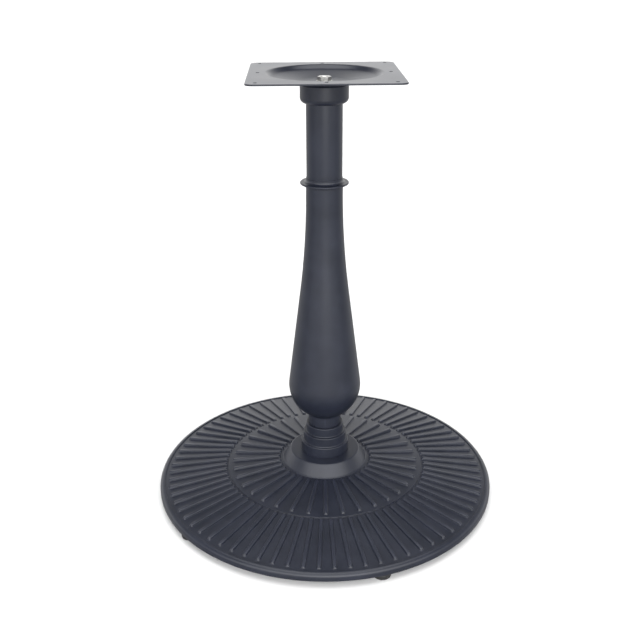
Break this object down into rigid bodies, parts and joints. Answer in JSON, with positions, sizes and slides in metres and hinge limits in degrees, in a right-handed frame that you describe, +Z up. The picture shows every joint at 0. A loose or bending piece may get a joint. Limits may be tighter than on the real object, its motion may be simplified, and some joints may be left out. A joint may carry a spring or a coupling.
{
  "type": "pedestal table base",
  "caption": "Round ribbed cast-iron floor disc with levelling feet, a vase-shaped column clamped by a central tie rod, and a square dished top plate with screw holes.",
  "frame": {"origin": "on the floor under the column's axis, in the middle of the disc", "axes": "+Z up along the column towards the table top; X and Y along the top plate's edges"},
  "size_m": [0.5848, 0.5848, 0.72],
  "materials": {
    "coated_iron": "satin charcoal powder coat",
    "coated_steel": "satin charcoal powder coat",
    "plated_steel": "bright zinc plating",
    "foot_plastic": "matt black"
  },
  "bodies": {
    "frame": {"base_casting": "coated_iron", "column_plinth": "coated_iron", "vase_column": "coated_iron", "bead_ring": "coated_iron", "top_collar": "coated_iron", "upper_tube": "coated_steel", "top_plate": "coated_steel", "tie_rod": "plated_steel", "top_washer": "plated_steel", "top_nut": "plated_steel", "bottom_washer": "plated_steel", "bottom_lock_washer": "plated_steel", "bottom_nut": "plated_steel"},
    "pad_1": {"foot_pad_1": "foot_plastic"},
    "stem_1": {"foot_stem_1": "plated_steel"},
    "pad_2": {"foot_pad_2": "foot_plastic"},
    "stem_2": {"foot_stem_2": "plated_steel"},
    "pad_3": {"foot_pad_3": "foot_plastic"},
    "stem_3": {"foot_stem_3": "plated_steel"},
    "pad_4": {"foot_pad_4": "foot_plastic"},
    "stem_4": {"foot_stem_4": "plated_steel"},
    "pad_5": {"foot_pad_5": "foot_plastic"},
    "stem_5": {"foot_stem_5": "plated_steel"}
  },
  "joints": [
    {"name": "foot_1_extend", "type": "slide", "parent": "frame", "child": "pad_1", "axis": [0, 0, -1], "range_m": [0, 0.0051]},
    {"name": "foot_1_screw", "type": "hinge", "parent": "pad_1", "child": "stem_1", "pos_m": [0.27494, -0.00576, 0.012], "axis": [0, 0, -1], "range_deg": [0, 1440]},
    {"name": "foot_2_extend", "type": "slide", "parent": "frame", "child": "pad_2", "axis": [0, 0, -1], "range_m": [0, 0.0051]},
    {"name": "foot_2_screw", "type": "hinge", "parent": "pad_2", "child": "stem_2", "pos_m": [0.09044, 0.2597, 0.012], "axis": [0, 0, -1], "range_deg": [0, 1440]},
    {"name": "foot_3_extend", "type": "slide", "parent": "frame", "child": "pad_3", "axis": [0, 0, -1], "range_m": [0, 0.0051]},
    {"name": "foot_3_screw", "type": "hinge", "parent": "pad_3", "child": "stem_3", "pos_m": [-0.21905, 0.16626, 0.012], "axis": [0, 0, -1], "range_deg": [0, 1440]},
    {"name": "foot_4_extend", "type": "slide", "parent": "frame", "child": "pad_4", "axis": [0, 0, -1], "range_m": [0, 0.0051]},
    {"name": "foot_4_screw", "type": "hinge", "parent": "pad_4", "child": "stem_4", "pos_m": [-0.22582, -0.15695, 0.012], "axis": [0, 0, -1], "range_deg": [0, 1440]},
    {"name": "foot_5_extend", "type": "slide", "parent": "frame", "child": "pad_5", "axis": [0, 0, -1], "range_m": [0, 0.0051]},
    {"name": "foot_5_screw", "type": "hinge", "parent": "pad_5", "child": "stem_5", "pos_m": [0.07948, -0.26326, 0.012], "axis": [0, 0, -1], "range_deg": [0, 1440]}
  ],
  "couplings": [
    {"joint": "foot_1_extend", "follows": "foot_1_screw", "m_per_rad": 0.00019894},
    {"joint": "foot_2_extend", "follows": "foot_2_screw", "m_per_rad": 0.00019894},
    {"joint": "foot_3_extend", "follows": "foot_3_screw", "m_per_rad": 0.00019894},
    {"joint": "foot_4_extend", "follows": "foot_4_screw", "m_per_rad": 0.00019894},
    {"joint": "foot_5_extend", "follows": "foot_5_screw", "m_per_rad": 0.00019894}
  ]
}
